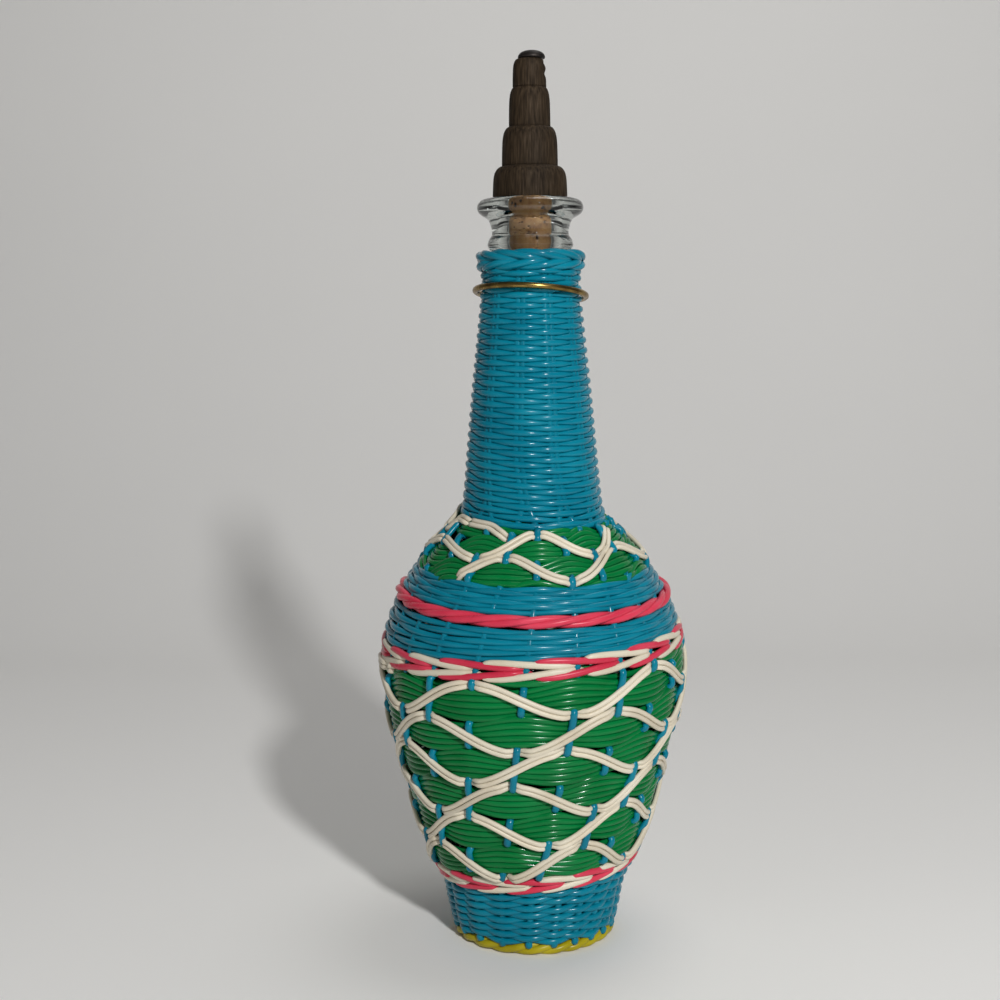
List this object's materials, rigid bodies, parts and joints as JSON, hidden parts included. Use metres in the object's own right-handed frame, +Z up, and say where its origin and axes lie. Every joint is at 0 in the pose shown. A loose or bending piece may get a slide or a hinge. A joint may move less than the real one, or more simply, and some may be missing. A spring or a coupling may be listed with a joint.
{
  "type": "wicker wine bottle",
  "caption": "Long-necked glass wine bottle in a coloured woven plastic jacket, with a cork stopper under a turned wooden finial and a loose brass neck ring.",
  "frame": {"origin": "on the table, on the bottle's axis, at the middle of the foot border's flat underside", "axes": "+Z up along the bottle's axis towards the finial; -Y faces the pictured side; +X to the viewer's right"},
  "size_m": [0.1352, 0.1352, 0.3845],
  "materials": {
    "clear_glass": "clear, glossy, faintly green in its thick lip",
    "cork": "natural cork, matte, pitted",
    "dowel_wood": "plain turned dowel, matte",
    "walnut": "dark turned wood with upright grain, worn matte",
    "dark_metal": "dark, tarnished, domed",
    "brass": "aged brass wire, half gloss",
    "turquoise_strand": "glossy round plastic strand, turquoise blue",
    "green_strand": "glossy round plastic strand, deep green",
    "pink_strand": "glossy round plastic strand, coral pink",
    "cream_strand": "half-gloss round plastic strand, cream white, slightly soiled",
    "yellow_strand": "glossy round plastic strand, yellow"
  },
  "bodies": {
    "bottle": {"glass_bottle": "clear_glass", "top_border_braid": "turquoise_strand", "neck_weave": "turquoise_strand", "shoulder_weave": "green_strand", "shoulder_wave_a_upper_strand": "cream_strand", "shoulder_wave_a_lower_strand": "cream_strand", "shoulder_wave_b_upper_strand": "cream_strand", "shoulder_wave_b_lower_strand": "cream_strand", "upper_turquoise_band": "turquoise_strand", "pink_rope": "pink_strand", "lower_turquoise_band": "turquoise_strand", "upper_mixed_rope_upper": "pink_strand", "upper_mixed_rope_lower": "cream_strand", "belly_weave": "green_strand", "belly_wave_a_upper_strand": "cream_strand", "belly_wave_a_lower_strand": "cream_strand", "belly_wave_b_upper_strand": "cream_strand", "belly_wave_b_lower_strand": "cream_strand", "lower_mixed_rope_upper": "pink_strand", "lower_mixed_rope_lower": "cream_strand", "base_band": "turquoise_strand", "foot_border": "yellow_strand", "base_weave": "turquoise_strand", "stake_01": "turquoise_strand", "stake_02": "turquoise_strand", "stake_03": "turquoise_strand", "stake_04": "turquoise_strand", "stake_05": "turquoise_strand", "stake_06": "turquoise_strand", "stake_07": "turquoise_strand", "stake_08": "turquoise_strand", "stake_09": "turquoise_strand", "stake_10": "turquoise_strand", "stake_11": "turquoise_strand", "stake_12": "turquoise_strand", "stake_13": "turquoise_strand", "stake_14": "turquoise_strand", "stake_15": "turquoise_strand", "stake_16": "turquoise_strand", "stake_17": "turquoise_strand", "stake_18": "turquoise_strand", "stake_19": "turquoise_strand", "stake_20": "turquoise_strand", "stake_21": "turquoise_strand", "stake_22": "turquoise_strand"},
    "stopper": {"wooden_finial": "walnut", "finial_tip_cap": "dark_metal", "finial_dowel": "dowel_wood", "cork_plug": "cork"},
    "neck_ring": {"brass_ring": "brass"}
  },
  "joints": [
    {"name": "stopper_pull", "type": "slide", "parent": "bottle", "child": "stopper", "axis": [0, 0, 1], "range_m": [0, 0.06]},
    {"name": "ring_lift", "type": "slide", "parent": "bottle", "child": "neck_ring", "axis": [0, 0, 1], "range_m": [0, 0.005]}
  ]
}
